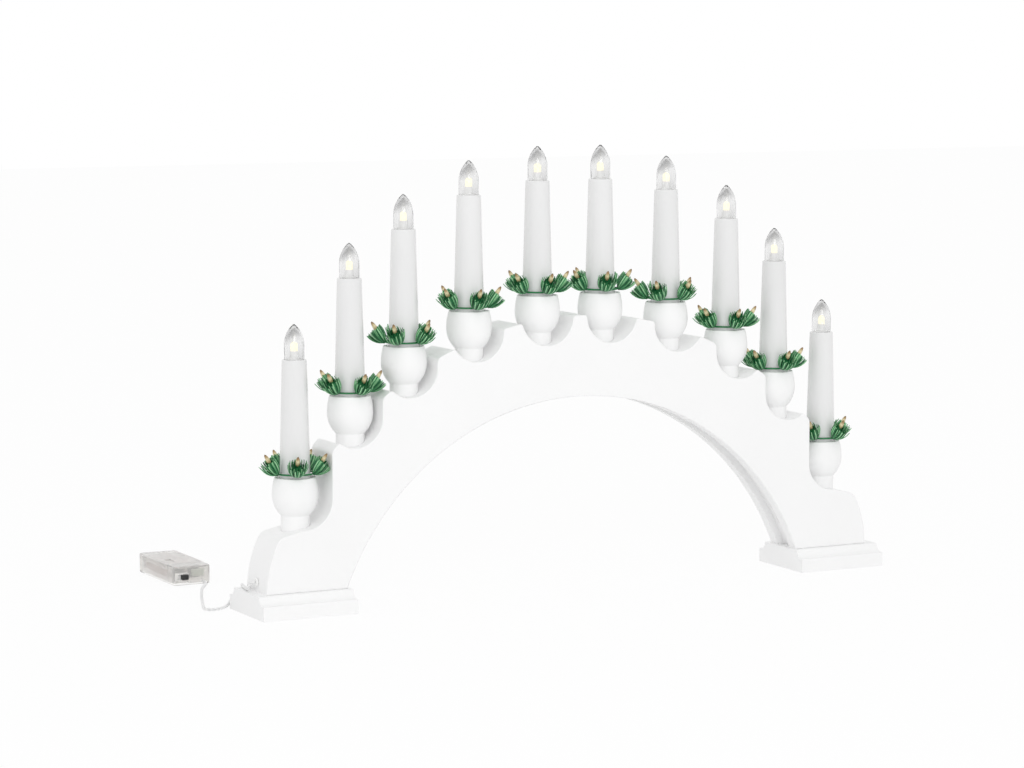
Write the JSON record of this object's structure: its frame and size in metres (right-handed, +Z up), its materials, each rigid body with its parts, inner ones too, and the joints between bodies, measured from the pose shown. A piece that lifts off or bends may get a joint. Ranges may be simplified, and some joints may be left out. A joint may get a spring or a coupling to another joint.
{
  "type": "candle arch",
  "caption": "White wooden arch on two coved feet with electric tube candles in turned cups, green wreaths with gold cones, and a battery box on a thin cord.",
  "frame": {"origin": "on the floor, under the middle of the arch, midway between front and back", "axes": "+X along the arch to the right foot, -Y the front, +Z up"},
  "size_m": [0.4988, 0.2213, 0.3036],
  "materials": {
    "white_wood": "white satin paint on wood",
    "candle_white": "satin white plastic",
    "clear_cover": "clear plastic",
    "needle_green": "dark green plastic needles",
    "cone_gold": "gold",
    "holder_white": "white plastic",
    "led_warm": "warm white light source",
    "wire_white": "white insulation",
    "case_clear": "see-through grey plastic",
    "cell_jacket": "plain jacket",
    "steel": "bright steel",
    "switch_black": "black plastic",
    "board_tan": "light board"
  },
  "bodies": {
    "arch": {"front_panel": "white_wood", "back_panel": "white_wood", "core_board": "white_wood", "left_foot": "white_wood", "right_foot": "white_wood", "cup_1": "white_wood", "candle_1": "candle_white", "flame_1": "clear_cover", "wreath_1": "needle_green", "cup_2": "white_wood", "candle_2": "candle_white", "flame_2": "clear_cover", "wreath_2": "needle_green", "cup_3": "white_wood", "candle_3": "candle_white", "flame_3": "clear_cover", "wreath_3": "needle_green", "cup_4": "white_wood", "candle_4": "candle_white", "flame_4": "clear_cover", "wreath_4": "needle_green", "cup_5": "white_wood", "candle_5": "candle_white", "flame_5": "clear_cover", "wreath_5": "needle_green", "cup_6": "white_wood", "candle_6": "candle_white", "flame_6": "clear_cover", "wreath_6": "needle_green", "cup_7": "white_wood", "candle_7": "candle_white", "flame_7": "clear_cover", "wreath_7": "needle_green", "cup_8": "white_wood", "candle_8": "candle_white", "flame_8": "clear_cover", "wreath_8": "needle_green", "cup_9": "white_wood", "candle_9": "candle_white", "flame_9": "clear_cover", "wreath_9": "needle_green", "cup_10": "white_wood", "candle_10": "candle_white", "flame_10": "clear_cover", "wreath_10": "needle_green", "foot_screws": "steel", "gold_cones": "cone_gold", "led_holders": "holder_white", "leds": "led_warm", "wiring": "wire_white", "cord_bushing": "holder_white", "cord": "wire_white", "battery_case": "case_clear", "battery_cells": "cell_jacket", "battery_contacts": "steel", "switch_body": "switch_black", "joining_board": "board_tan"},
    "lid": {"battery_lid": "case_clear"},
    "knob": {"switch_knob": "switch_black"}
  },
  "joints": [
    {"name": "lid_slide", "type": "slide", "parent": "arch", "child": "lid", "axis": [0, 1, 0], "range_m": [0, 0.057]},
    {"name": "switch_slide", "type": "slide", "parent": "arch", "child": "knob", "axis": [-1, 0, 0], "range_m": [0, 0.002]}
  ]
}
